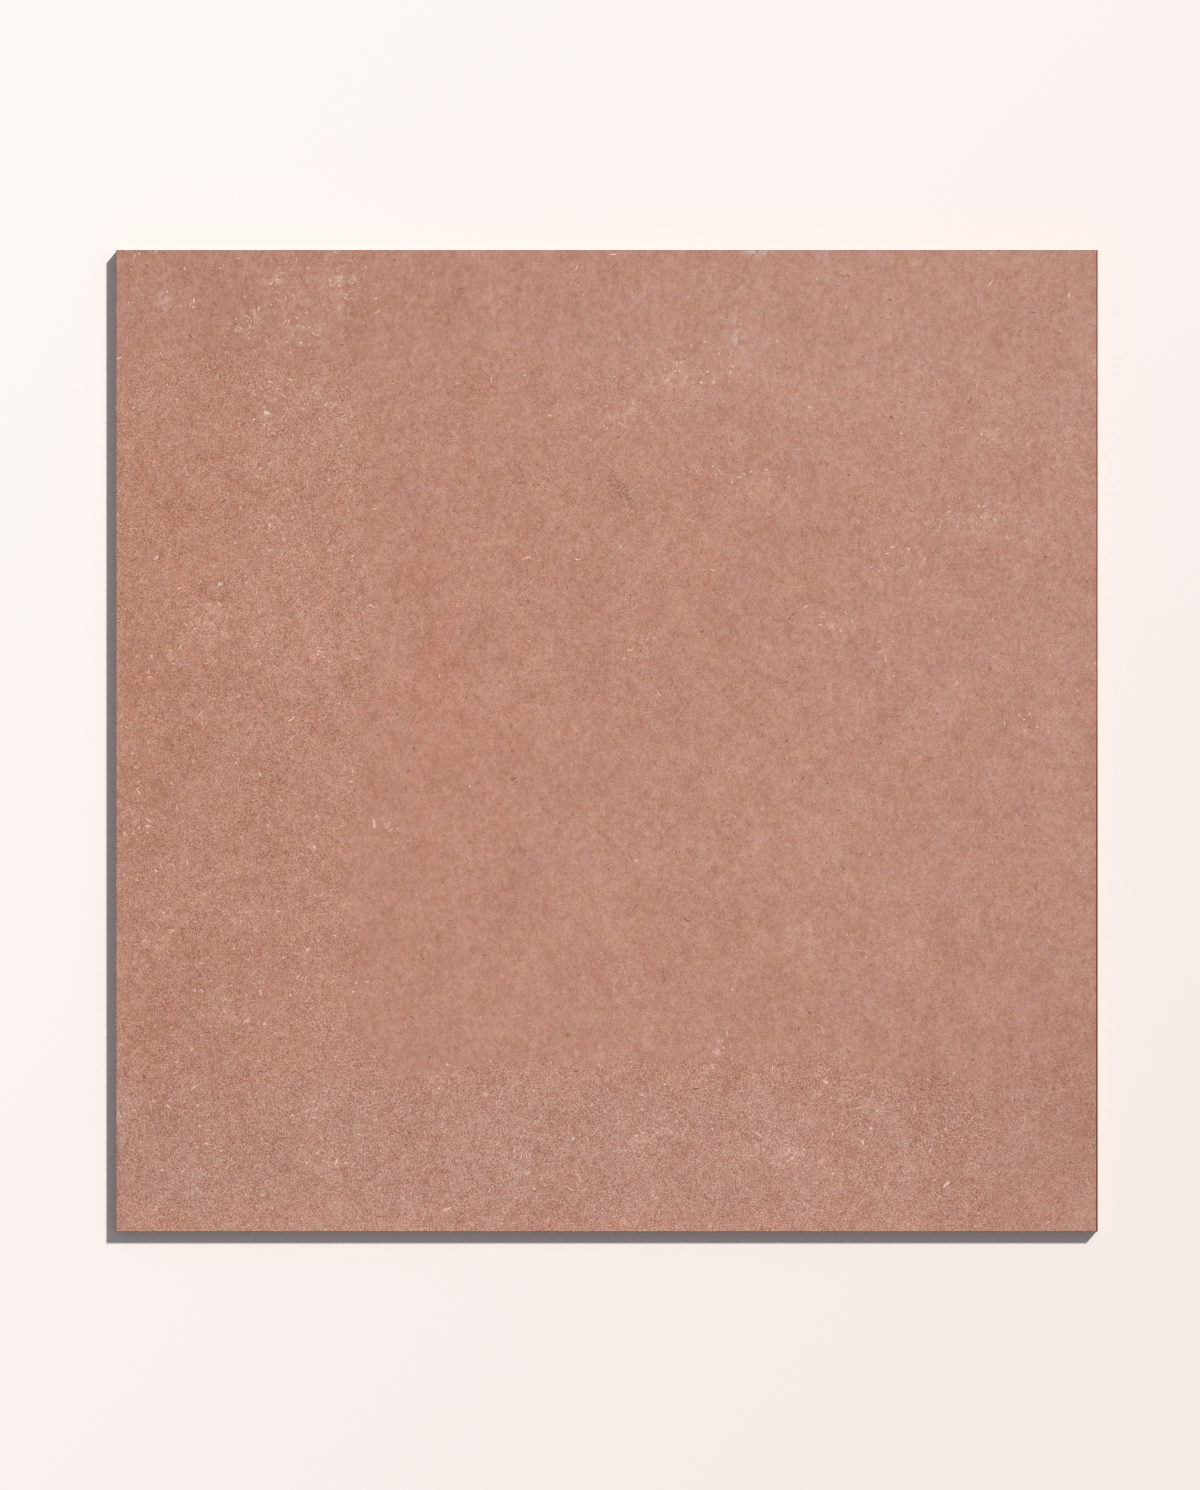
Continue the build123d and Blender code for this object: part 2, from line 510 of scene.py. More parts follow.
@dataclass(frozen=True)
class UnglazedPorcelainFace(Finish):
    """Unglazed coloured porcelain, dry-pressed from blended clay powders and fired.

    The fired skin has no glaze, so it is matte and stony, with no clear reflection. The blended powders
    leave soft clouds of paler and deeper clay, the spray-dried grains leave a fine speckle, iron in the clay
    leaves dark specks, and handling leaves chalky flecks.
    """

    name: str = "unglazed porcelain, pressed and fired"
    deep_warm_clay: str = "#AE6D59"
    deep_cool_clay: str = "#A36E5B"
    pale_warm_clay: str = "#CF9B8A"
    pale_cool_clay: str = "#C59C8D"
    chalk: str = "#EBCBB9"
    rubbed_chalk: str = "#D9C3BC"
    iron_speck: str = "#7C5040"
    soot: str = "#785C52"
    # What a wholly ochre clay takes from the light, more blue than red
    ochre_tint: str = "#FCFFEF"
    ior: float = 1.5
    specular_level: float = 0.3
    smoothest: float = 0.68
    roughest: float = 0.86
    # How far the tone swings either side of the middle, from the deep clay to the pale one
    tone_reach: float = 2.0
    cloud: Mottle = Mottle(28.0, 1.28, detail=2.0, stretch=1.6)
    redness: tuple[Mottle, ...] = (
        Mottle(20.0, 1.45, detail=3.0, stretch=1.3),
        Mottle(2.2, 0.85),
    )
    yellowness: tuple[Mottle, ...] = (
        Mottle(17.0, 1.1, detail=3.0, stretch=1.3),
        Mottle(1.9, 0.92),
    )
    # Spray-dried powder grains are 0.2 to 0.6 mm, too fine to show, so the speckle is drawn coarser
    grain: Mottle = Mottle(4.0, 0.95, detail=1.0, stretch=1.7)
    grit: Mottle = Mottle(0.88, 2.1, stretch=1.25)
    grit_patches: Mottle = Mottle(24.0, 0.35, detail=1.0)
    # How much of the speckle is a change of red, green and blue light rather than of clay: pale grains are
    # greyer than deep ones
    speckle_light: tuple[float, float, float] = (0.11, 0.16, 0.19)
    grit_height: float = 0.48
    relief_mm: float = 0.022
    soot_depth: float = 0.72
    soot_dots: tuple[float, float] = (0.35, -0.45)
    chalk_bare: tuple[float, float] = (-0.2, 0.15)
    curd_mm: float = 5.0
    curd_detail: float = 3.0
    curd_raggedness: float = 0.65
    curd_rim: tuple[float, float] = (0.48, 0.64)
    curd_depth: float = 0.30
    curl_mm: float = 8.0
    curl_reach_mm: float = 9.0
    # A thin dark line painted along the face's right rim
    dark_rim_line: DarkRimLine = DarkRimLine()
    scuffs: tuple[FleckLayer, ...] = (
        FleckLayer(4.6, 4.6, 0, 0.12, 0.27, 0.010, 0.92, faintest=0.45),
        FleckLayer(12.0, 4.4, 38, 0.09, 0.19, 0.005, 0.48),
        FleckLayer(12.0, 4.2, -42, 0.09, 0.19, 0.005, 0.36),
        FleckLayer(14.0, 4.4, 80, 0.09, 0.19, 0.004, 0.30),
    )
    specks: tuple[FleckLayer, ...] = (
        FleckLayer(5.0, 5.0, 20, 0.09, 0.19, 0.15, 0.15),
        FleckLayer(14.0, 8.0, -35, 0.05, 0.11, 0.12, 0.10),
        FleckLayer(44.0, 30.0, 40, 0.02, 0.05, 0.26, 0.26),
    )

    def roughen(
        self, tree: bpy.types.NodeTree, place: bpy.types.NodeSocket, share: bpy.types.NodeSocket
    ) -> bpy.types.NodeSocket:
        """Add the grit, which is coarser in some bands of the face than in others and uneven within them.

        Args:
            tree: the material's node tree.
            place: the point of the surface, in metres.
            share: how gritty the face is there.

        Returns:
            The grit at the point, which swings either side of 0.
        """
        patches = self.grit_patches.spread(tree, place)
        uneven = add_node(
            tree, "Math", {0: share, 1: patches, 2: share}, operation="MULTIPLY_ADD"
        ).outputs[0]
        grit = self.grit.spread(tree, place)
        return add_node(tree, "Math", {0: grit, 1: uneven}, operation="MULTIPLY").outputs[0]

    def blend_clays(
        self,
        tree: bpy.types.NodeTree,
        place: bpy.types.NodeSocket,
        share: dict[Mark, bpy.types.NodeSocket],
        speckle: bpy.types.NodeSocket,
    ) -> bpy.types.NodeSocket:
        """Add the blended clays: each tone is between a deep and a pale one, each of them cooler or warmer.

        Args:
            tree: the material's node tree.
            place: the point of the surface, in metres.
            share: how much of each mark the face has there.
            speckle: the grain and grit at the point.

        Returns:
            The colour of the bare clay.
        """
        cloud = self.cloud.spread(tree, place)
        cloudy = add_node(tree, "Math", {0: share[Mark.PALE], 1: cloud}, operation="ADD").outputs[0]
        tone = add_node(tree, "Math", {0: cloudy, 1: speckle}, operation="ADD").outputs[0]
        pale = add_node(
            tree, "MapRange", {"Value": tone, "From Min": -self.tone_reach, "From Max": self.tone_reach}
        ).outputs[0]
        redness, ochre = share[Mark.WARM], share[Mark.OCHRE]
        for spots in self.redness:
            redness = add_node(
                tree, "Math", {0: redness, 1: spots.spread(tree, place)}, operation="ADD"
            ).outputs[0]
        for spots in self.yellowness:
            ochre = add_node(
                tree, "Math", {0: ochre, 1: spots.spread(tree, place)}, operation="ADD"
            ).outputs[0]
        warm = add_node(tree, "MapRange", {"Value": redness, "From Min": -1.0}).outputs[0]
        deep_clay, pale_clay = (
            add_node(
                tree,
                "Mix",
                {MIX_SHARE: warm, MIX_UNDER: linear(cool), MIX_OVER: linear(warmer)},
                data_type="RGBA",
            ).outputs[MIX_OUT]
            for cool, warmer in (
                (self.deep_cool_clay, self.deep_warm_clay),
                (self.pale_cool_clay, self.pale_warm_clay),
            )
        )
        clay = add_node(
            tree, "Mix", {MIX_SHARE: pale, MIX_UNDER: deep_clay, MIX_OVER: pale_clay}, data_type="RGBA"
        ).outputs[MIX_OUT]
        tinted = add_node(
            tree,
            "Mix",
            {MIX_SHARE: ochre, MIX_UNDER: clay, MIX_OVER: linear(self.ochre_tint)},
            data_type="RGBA",
            blend_type="MULTIPLY",
        ).outputs[MIX_OUT]
        # Painted shade: the shade mark darkens the face towards its corners and left side
        unshaded = add_node(tree, "Math", {0: 1.0, 1: share[Mark.SHADE]}, operation="SUBTRACT").outputs[0]
        light = add_node(
            tree, "VectorMath", {0: speckle, 1: self.speckle_light, 2: unshaded}, operation="MULTIPLY_ADD"
        ).outputs[0]
        return add_node(tree, "VectorMath", {0: tinted, 1: light}, operation="MULTIPLY").outputs[0]

    def lay_on(
        self,
        tree: bpy.types.NodeTree,
        place: bpy.types.NodeSocket,
        share: dict[Mark, bpy.types.NodeSocket],
        grain: bpy.types.NodeSocket,
        grit: bpy.types.NodeSocket,
        clay: bpy.types.NodeSocket,
    ) -> bpy.types.NodeSocket:
        """Lay soot, rubbed chalk, milky curds, chalky flecks and dark specks on the clay.

        Args:
            tree: the material's node tree.
            place: the point of the surface, in metres.
            share: how much of each mark the face has there.
            grain: the grain at the point.
            grit: the grit at the point.
            clay: the colour of the bare clay.

        Returns:
            The colour of the face.
        """
        curds = add_node(
            tree,
            "TexNoise",
            {
                "Vector": place,
                "Scale": 1 / (self.curd_mm * MM),
                "Detail": self.curd_detail,
                "Roughness": self.curd_raggedness,
            },
        ).outputs["Fac"]
        colour = clay
        for mark, pattern, (bare, full), depth, laid in (
            (Mark.SOOT, grit, self.soot_dots, self.soot_depth, self.soot),
            (Mark.CHALK, grain, self.chalk_bare, 1.0, self.rubbed_chalk),
            (Mark.FLECKS, curds, self.curd_rim, self.curd_depth, self.chalk),
        ):
            broken = add_node(
                tree, "MapRange", {"Value": pattern, "From Min": bare, "From Max": full, "To Max": depth}
            ).outputs[0]
            amount = add_node(tree, "Math", {0: share[mark], 1: broken}, operation="MULTIPLY").outputs[0]
            colour = add_node(
                tree,
                "Mix",
                {MIX_SHARE: amount, MIX_UNDER: colour, MIX_OVER: linear(laid)},
                data_type="RGBA",
            ).outputs[MIX_OUT]
        # The scuffs curl, because the hands and pallets that left them didn't move straight
        swirl = add_node(
            tree, "TexNoise", {"Vector": place, "Scale": 1 / (self.curl_mm * MM), "Detail": 0.0}
        ).outputs["Color"]
        reach = self.curl_reach_mm * MM
        curled = add_node(
            tree, "VectorMath", {0: swirl, 1: (reach, reach, 0.0), 2: place}, operation="MULTIPLY_ADD"
        ).outputs[0]
        for layers, laid in ((self.scuffs, self.chalk), (self.specks, self.iron_speck)):
            for layer in layers:
                colour = add_node(
                    tree,
                    "Mix",
                    {MIX_SHARE: layer.spread(tree, curled), MIX_UNDER: colour, MIX_OVER: linear(laid)},
                    data_type="RGBA",
                ).outputs[MIX_OUT]
        return colour

    def surface(self, tree: bpy.types.NodeTree) -> bpy.types.NodeSocket:
        """Add the face's nodes: clouds, speckle, flecks and the fine relief under them.

        Args:
            tree: the material's node tree.

        Returns:
            The shader's output.
        """
        place = add_node(tree, "TexCoord").outputs["Object"]
        share = {
            mark: add_node(tree, "Attribute", attribute_name=mark.value).outputs["Fac"] for mark in Mark
        }
        grain = self.grain.spread(tree, place)
        grit = self.roughen(tree, place, share[Mark.GRIT])
        speckle = add_node(tree, "Math", {0: grain, 1: grit}, operation="ADD").outputs[0]
        clay = self.blend_clays(tree, place, share, speckle)
        dressed = self.lay_on(tree, place, share, grain, grit, clay)
        colour = self.dark_rim_line.lay(tree, place, dressed)
        # The same grains stand a few hundredths of a millimetre proud of the skin
        height = add_node(
            tree, "Math", {0: grit, 1: self.grit_height, 2: grain}, operation="MULTIPLY_ADD"
        ).outputs[0]
        relief = add_node(tree, "Bump", {"Distance": self.relief_mm * MM, "Height": height}).outputs[0]
        rough = add_node(
            tree,
            "MapRange",
            {
                "Value": grain,
                "From Min": -self.grain.depth,
                "From Max": self.grain.depth,
                "To Min": self.smoothest,
                "To Max": self.roughest,
            },
        ).outputs[0]
        return add_node(
            tree,
            "BsdfPrincipled",
            {
                "Base Color": colour,
                "Roughness": rough,
                "Normal": relief,
                "IOR": self.ior,
                "Specular IOR Level": self.specular_level,
            },
        ).outputs[0]


@dataclass(frozen=True)
class GroundPorcelainEdge(Finish):
    """The bare porcelain body, ground square with diamond wheels and water after firing.

    Grinding opens the body, so the eye sees a fine dark and light speckle of the grains, faint lines along
    the edge from the wheel, and a smoother, slightly silkier surface than the fired face.
    """

    name: str = "porcelain body, wet ground"
    body: str = "#94695A"
    pale_grain: str = "#AC8270"
    ior: float = 1.5
    specular_level: float = 0.35
    smoothest: float = 0.52
    roughest: float = 0.70
    grain_mm: float = 0.9
    grain_detail: float = 1.0
    # Where the speckle and the lines together turn from the body to the pale grain
    pale_turn: tuple[float, float] = (0.6, 1.4)
    # Wheel marks are a few hundredths of a millimetre apart, so they are drawn coarser to show
    wheel_line_mm: float = 0.45
    wheel_line_length_mm: float = 40.0
    wheel_line_detail: float = 1.0
    line_relief_mm: float = 0.01

    def surface(self, tree: bpy.types.NodeTree) -> bpy.types.NodeSocket:
        """Add the edge's nodes: the body's speckle and the wheel's lines along the edge.

        Args:
            tree: the material's node tree.

        Returns:
            The shader's output.
        """
        place = add_node(tree, "TexCoord").outputs["Object"]
        grain = add_node(
            tree,
            "TexNoise",
            {"Vector": place, "Scale": 1 / (self.grain_mm * MM), "Detail": self.grain_detail},
        ).outputs["Fac"]
        length = self.wheel_line_length_mm * MM
        drawn_out = add_node(
            tree,
            "Mapping",
            {"Vector": place, "Scale": (length, length, self.wheel_line_mm * MM)},
            vector_type="TEXTURE",
        ).outputs[0]
        lines = add_node(
            tree, "TexNoise", {"Vector": drawn_out, "Scale": 1.0, "Detail": self.wheel_line_detail}
        ).outputs["Fac"]
        mixed = add_node(tree, "Math", {0: grain, 1: lines}, operation="ADD").outputs[0]
        plain, palest = self.pale_turn
        share = add_node(
            tree, "MapRange", {"Value": mixed, "From Min": plain, "From Max": palest}
        ).outputs[0]
        colour = add_node(
            tree,
            "Mix",
            {MIX_SHARE: share, MIX_UNDER: linear(self.body), MIX_OVER: linear(self.pale_grain)},
            data_type="RGBA",
        ).outputs[MIX_OUT]
        rough = add_node(
            tree, "MapRange", {"Value": lines, "To Min": self.smoothest, "To Max": self.roughest}
        ).outputs[0]
        relief = add_node(tree, "Bump", {"Distance": self.line_relief_mm * MM, "Height": lines}).outputs[0]
        return add_node(
            tree,
            "BsdfPrincipled",
            {
                "Base Color": colour,
                "Roughness": rough,
                "Normal": relief,
                "IOR": self.ior,
                "Specular IOR Level": self.specular_level,
            },
        ).outputs[0]


@dataclass(frozen=True)
class KilnWashedBack(Finish):
    """The pressed back, with a thin refractory wash rolled on its ribs against sticking in the kiln.

    The wash is chalky and dry, thin and unevenly worn on the rib crests, and the grooves between the ribs
    show the plain, slightly deeper body with its grain and faint clouds.
    """

    name: str = "porcelain body with kiln wash"
    body: str = "#B48B79"
    deep_body: str = "#986E5C"
    wash: str = "#CFB9AE"
    ior: float = 1.5
    smoothest: float = 0.75
    roughest: float = 0.92
    grain_mm: float = 1.6
    grain_detail: float = 2.0
    worn_patch_mm: float = 26.0
    worn_detail: float = 5.0
    worn_raggedness: float = 0.6
    # Where the wear pattern turns from bare body to wash, and how well the whole wash covers
    wash_left: tuple[float, float] = (0.12, 0.78)
    wash_cover: float = 0.80
    # Where the grain and the clouds together turn from the deep body to the paler one
    body_turn: tuple[float, float] = (0.65, 1.35)
    wash_rises_mm: float = 0.12
    relief_mm: float = 0.04

    def surface(self, tree: bpy.types.NodeTree) -> bpy.types.NodeSocket:
        """Add the back's nodes: the body in the grooves and the broken wash on the rib crests.

        Args:
            tree: the material's node tree.

        Returns:
            The shader's output.
        """
        place = add_node(tree, "TexCoord").outputs["Object"]
        grain = add_node(
            tree,
            "TexNoise",
            {"Vector": place, "Scale": 1 / (self.grain_mm * MM), "Detail": self.grain_detail},
        ).outputs["Fac"]
        worn = add_node(
            tree,
            "TexNoise",
            {
                "Vector": place,
                "Scale": 1 / (self.worn_patch_mm * MM),
                "Detail": self.worn_detail,
                "Roughness": self.worn_raggedness,
            },
        ).outputs["Fac"]
        mixed = add_node(tree, "Math", {0: grain, 1: worn}, operation="ADD").outputs[0]
        deep, pale = self.body_turn
        share = add_node(tree, "MapRange", {"Value": mixed, "From Min": deep, "From Max": pale}).outputs[0]
        body = add_node(
            tree,
            "Mix",
            {MIX_SHARE: share, MIX_UNDER: linear(self.deep_body), MIX_OVER: linear(self.body)},
            data_type="RGBA",
        ).outputs[MIX_OUT]
        height = add_node(tree, "SeparateXYZ", {0: place}).outputs["Z"]
        crest = add_node(
            tree, "MapRange", {"Value": height, "From Min": 2 * self.wash_rises_mm * MM, "From Max": 0.0}
        ).outputs[0]
        bare, full = self.wash_left
        left_on = add_node(
            tree, "MapRange", {"Value": worn, "From Min": bare, "From Max": full, "To Max": self.wash_cover}
        ).outputs[0]
        washed = add_node(tree, "Math", {0: crest, 1: left_on}, operation="MULTIPLY").outputs[0]
        colour = add_node(
            tree, "Mix", {MIX_SHARE: washed, MIX_UNDER: body, MIX_OVER: linear(self.wash)}, data_type="RGBA"
        ).outputs[MIX_OUT]
        rough = add_node(
            tree, "MapRange", {"Value": worn, "To Min": self.smoothest, "To Max": self.roughest}
        ).outputs[0]
        relief = add_node(tree, "Bump", {"Distance": self.relief_mm * MM, "Height": grain}).outputs[0]
        return add_node(
            tree,
            "BsdfPrincipled",
            {"Base Color": colour, "Roughness": rough, "Normal": relief, "IOR": self.ior},
        ).outputs[0]


@dataclass(frozen=True)
class PaleFloorPaint(Finish):
    """Flat off-white paint, rolled on, with painted light falloff: it darkens a little from the upper left
    to the lower right.

    It is fully matte, so that it gives a clean pale ground and takes a crisp shadow. Only its upper side is
    painted: seen from below it is clear, so that the back of the tile can be looked at.
    """

    name: str = "off-white flat paint"
    upper_left: str = "#FEF8F2"
    lower_right: str = "#F3E9E2"
    painted_falloff_length: float = 1.15
    roughness: float = 0.95
    specular_level: float = 0.0

    def surface(self, tree: bpy.types.NodeTree) -> bpy.types.NodeSocket:
        """Add the floor's nodes.

        Args:
            tree: the material's node tree.

        Returns:
            The shader's output.
        """
        place = add_node(tree, "TexCoord").outputs["Object"]
        axes = add_node(tree, "SeparateXYZ", {0: place})
        # Painted light falloff: lighter at the upper left, darker at the lower right
        slant = add_node(tree, "Math", {0: axes.outputs["X"], 1: axes.outputs["Y"]}, operation="SUBTRACT")
        reach = self.painted_falloff_length / math.sqrt(2)
        fall = add_node(
            tree, "MapRange", {"Value": slant.outputs[0], "From Min": -reach, "From Max": reach}
        )
        colour = add_node(
            tree,
            "Mix",
            {
                MIX_SHARE: fall.outputs[0],
                MIX_UNDER: linear(self.upper_left),
                MIX_OVER: linear(self.lower_right),
            },
            data_type="RGBA",
        ).outputs[MIX_OUT]
        painted = add_node(
            tree,
            "BsdfPrincipled",
            {
                "Base Color": colour,
                "Roughness": self.roughness,
                "Specular IOR Level": self.specular_level,
            },
        )
        below = add_node(tree, "NewGeometry").outputs["Backfacing"]
        clear = add_node(tree, "BsdfTransparent")
        return add_node(
            tree, "MixShader", {0: below, 1: painted.outputs[0], 2: clear.outputs[0]}
        ).outputs[0]


@dataclass(frozen=True)
class MapPlace:
    """A rectangle of the texture map, from 0 to 1 both ways, that one stretch of the skin fills."""

    left: float
    low: float
    width: float
    height: float

    def lay(self, across: np.ndarray, up: np.ndarray) -> np.ndarray:
        """Place points, given by their shares across and up the stretch, on the map."""
        return np.stack((self.left + self.width * across, self.low + self.height * up), axis=-1)


@dataclass
class PorcelainTile:
    """The tile's whole skin as one closed mesh: face, arris, ground edges and ribbed back."""

    node: str = TILE_NODE
    piece_name: str = "porcelain_tile_dressed"
    body: str = "root"
    slot: str = "porcelain"
    arris_mm: float = 0.3
    rib_width_mm: float = 4.0
    rib_height_mm: float = 0.5
    plain_border_mm: float = 14.0
    groove_count: int = 32
    # The skin's divisions, which keep it under 200,000 triangles
    face_cells: int = 296
    back_cells: int = 24
    # The pressed face is not quite flat: (how far apart its swells are, how deep they are), in millimetres
    swells_mm: tuple[tuple[float, float], ...] = ((44.0, 0.035), (18.0, 0.014), (8.0, 0.006))
    flat_rim_mm: float = 6.0
    crisp_edge_deg: float = 20.0
    # The marks' outlines wander: how far, and how far it is from one turn to the next
    marks_wander_mm: float = 4.0
    marks_wander_spacing_mm: float = 40.0
    seed: int = 7
    # The texture map, in shares of its side: the face, the edges in strips right of it, the back above
    map_margin: float = 0.005
    face_on_map: float = 0.860
    edge_strips_left: float = 0.876
    edge_strip_pitch: float = 0.031
    edge_strip_width: float = 0.024
    back_strip_low: float = 0.880
    back_strip_height: float = 0.115
    face_finish: Finish = UnglazedPorcelainFace()
    edge_finish: Finish = GroundPorcelainEdge()
    back_finish: Finish = KilnWashedBack()

    def __post_init__(self) -> None:
        """Take the slab's overall sizes from the frame, and divide the texture map among its stretches."""
        low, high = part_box(self.node)
        self.half_length = (high.x - low.x) / 2
        self.half_width = (high.y - low.y) / 2
        self.foot = low.z
        self.top = high.z
        margin, side_on_map = self.map_margin, self.face_on_map
        self.face_place = MapPlace(margin, margin, side_on_map, side_on_map)
        self.back_place = MapPlace(margin, self.back_strip_low, 1 - 2 * margin, self.back_strip_height)
        self.edge_places = {
            side: MapPlace(
                self.edge_strips_left + self.edge_strip_pitch * number,
                margin,
                self.edge_strip_width,
                side_on_map,
            )
            for number, side in enumerate(Side)
        }
        self.rng = np.random.default_rng(self.seed)
        self.points: list[np.ndarray] = []
        self.faces: list[tuple[int, ...]] = []
        self.face_stretches: list[Stretch] = []

    def swell(self, size_mm: float) -> np.ndarray:
        """Draw soft random swells over the grid of the face.

        Args:
            size_mm: how far it is from one swell to the next.

        Returns:
            Heights on the grid, with a mean of 0 and a standard deviation of 1.
        """
        count = self.face_cells + 1
        spacing_mm = 2 * self.half_length / self.face_cells / MM
        along = np.fft.fftfreq(count, spacing_mm)
        waves = np.hypot(*np.meshgrid(along, along)) * size_mm
        rough = np.fft.fft2(self.rng.standard_normal((count, count)))
        soft = np.fft.ifft2(rough * np.exp(-2 * waves**2)).real
        return (soft - soft.mean()) / soft.std()

    def add_points(self, places: np.ndarray) -> np.ndarray:
        """Add points to the skin.

        Args:
            places: the points, with X, Y and Z along the last axis.

        Returns:
            The points' numbers, in the same layout.
        """
        start = sum(len(block) for block in self.points)
        self.points.append(places.reshape(-1, 3))
        return np.arange(start, start + places.size // 3).reshape(places.shape[:-1])

    def add_faces(self, corners: list[tuple[int, ...]], stretch: Stretch) -> None:
        """Add faces, by their corners' numbers, to one stretch of the skin."""
        self.faces.extend(corners)
        self.face_stretches.extend([stretch] * len(corners))

    def build_face(self) -> np.ndarray:
        """Build the pressed face as a grid that swells a little below its highest plane.

        Returns:
            The grid's point numbers, by row along Y and column along X.
        """
        inset = self.arris_mm * MM
        x = np.linspace(-1, 1, self.face_cells + 1) * (self.half_length - inset)
        y = np.linspace(-1, 1, self.face_cells + 1) * (self.half_width - inset)
        self.face_x, self.face_y = np.meshgrid(x, y)
        relief = sum(depth * MM * self.swell(size) for size, depth in self.swells_mm)
        to_rim = np.minimum(self.half_length - abs(self.face_x), self.half_width - abs(self.face_y)) - inset
        ease = np.clip(to_rim / (self.flat_rim_mm * MM), 0, 1)
        z = self.top - (relief.max() - relief) * ease
        grid = self.add_points(np.stack((self.face_x, self.face_y, z), axis=-1))
        around = (grid[:-1, :-1], grid[:-1, 1:], grid[1:, 1:], grid[1:, :-1])
        self.add_faces(np.stack(around, axis=-1).reshape(-1, 4).tolist(), Stretch.FACE)
        return grid

    def build_arris(self, grid: np.ndarray) -> dict[Side, np.ndarray]:
        """Build the narrow arris that is ground round the face.

        Args:
            grid: the face's point numbers.

        Returns:
            The numbers of the arris's lower points along each side, corner to corner, against the clock.
        """
        ring = np.concatenate((grid[0, :-1], grid[:-1, -1], grid[-1, :0:-1], grid[:0:-1, 0]))
        face_points = self.points[0]
        outward = np.array(
            (
                self.half_length / (self.half_length - self.arris_mm * MM),
                self.half_width / (self.half_width - self.arris_mm * MM),
                1.0,
            )
        )
        lower = self.add_points(face_points[ring] * outward - np.array((0, 0, self.arris_mm * MM)))
        rows = {}
        for number, side in enumerate(Side):
            run = np.arange(number * self.face_cells, (number + 1) * self.face_cells + 1) % len(ring)
            outer, inner = lower[run], ring[run]
            corners = np.stack((outer[:-1], outer[1:], inner[1:], inner[:-1]), axis=-1)
            self.add_faces(corners.tolist(), Stretch[side.name])
            rows[side] = outer
        return rows

    def back_profile(self) -> np.ndarray:
        """Work out the back's outline across the ribs.

        Returns:
            Places along Y and heights, from the front edge to the rear one.
        """
        rib, rise = self.rib_width_mm * MM, self.rib_height_mm * MM
        ribbed = 2 * (self.half_width - self.plain_border_mm * MM)
        pitch = (ribbed + rib) / self.groove_count
        outline = [(-self.half_width, 0.0)]
        for number in range(self.groove_count):
            start = -ribbed / 2 + number * pitch
            end = start + pitch - rib
            outline += [(start, 0.0), (start + rise, rise), (end - rise, rise), (end, 0.0)]
        outline.append((self.half_width, 0.0))
        return np.array(outline)

    def build_back(self) -> dict[Side, np.ndarray]:
        """Build the ribbed back.

        Returns:
            The numbers of the back's outer points along each side, corner to corner, against the clock.
        """
        profile = self.back_profile()
        along = np.linspace(-self.half_length, self.half_length, self.back_cells + 1)
        x, y = np.meshgrid(along, profile[:, 0])
        z = np.repeat(self.foot + profile[:, 1:], len(along), axis=1)
        grid = self.add_points(np.stack((x, y, z), axis=-1))
        around = (grid[:-1, :-1], grid[1:, :-1], grid[1:, 1:], grid[:-1, 1:])
        self.add_faces(np.stack(around, axis=-1).reshape(-1, 4).tolist(), Stretch.BACK)
        return {
            Side.FRONT: grid[0],
            Side.RIGHT: grid[:, -1],
            Side.REAR: grid[-1, ::-1],
            Side.LEFT: grid[::-1, 0],
        }

    def build_edges(self, upper: dict[Side, np.ndarray], lower: dict[Side, np.ndarray]) -> None:
        """Close the four ground edges with triangles between the arris and the back.

        Args:
            upper: the arris's lower points along each side.
            lower: the back's outer points along each side.
        """
        points = np.concatenate(self.points)
        for side in Side:
            facing_x, facing_y = side.value
            along = points @ np.array((-facing_y, facing_x, 0.0))
            top, foot = upper[side], lower[side]
            corners = []
            i = j = 0
            while i < len(top) - 1 or j < len(foot) - 1:
                if j == len(foot) - 1 or (i < len(top) - 1 and along[top[i + 1]] <= along[foot[j + 1]]):
                    corners.append((int(foot[j]), int(top[i + 1]), int(top[i])))
                    i += 1
                else:
                    corners.append((int(foot[j]), int(foot[j + 1]), int(top[i])))
                    j += 1
            self.add_faces(corners, Stretch[side.name])

    def lay_out_map(self, mesh: bpy.types.Mesh) -> None:
        """Give the mesh its texture map: the face large, the back and the edges in strips beside it.

        Args:
            mesh: the finished mesh, whose faces are in the order in which they were added.
        """
        corner_count = len(mesh.loops)
        point_numbers = np.empty(corner_count, np.int32)
        mesh.loops.foreach_get("vertex_index", point_numbers)
        stretches = np.repeat(self.face_stretches, [len(face) for face in self.faces])
        points = np.concatenate(self.points)[point_numbers]
        x = points[:, 0] / (2 * self.half_length) + 0.5
        y = points[:, 1] / (2 * self.half_width) + 0.5
        z = (points[:, 2] - self.foot) / (self.top - self.foot)
        laid = np.zeros((corner_count, 2))
        on_face, on_back = stretches == Stretch.FACE, stretches == Stretch.BACK
        laid[on_face] = self.face_place.lay(x, y)[on_face]
        laid[on_back] = self.back_place.lay(y, x)[on_back]
        for side in Side:
            along = x if side.value[0] == 0 else y
            on_side = stretches == Stretch[side.name]
            laid[on_side] = self.edge_places[side].lay(z, along)[on_side]
        mesh.uv_layers.new(name="OFBake").uv.foreach_set("vector", laid.astype(np.float32).ravel())

    def lay_marks(self, mesh: bpy.types.Mesh) -> None:
        """Write how much of each mark every point of the face has, with uneven, wandering outlines.

        Args:
            mesh: the mesh, whose first points are the face's.
        """
        x_mm = self.face_x / MM + self.marks_wander_mm * self.swell(self.marks_wander_spacing_mm)
        y_mm = self.face_y / MM + self.marks_wander_mm * self.swell(self.marks_wander_spacing_mm)
        for mark in Mark:
            laid = sum(part.over(x_mm, y_mm) for part in FACE_MARKS if part.mark is mark)
            values = np.zeros(len(mesh.vertices), np.float32)
            values[: laid.size] = laid.ravel()
            mesh.attributes.new(mark.value, "FLOAT", "POINT").data.foreach_set("value", values)

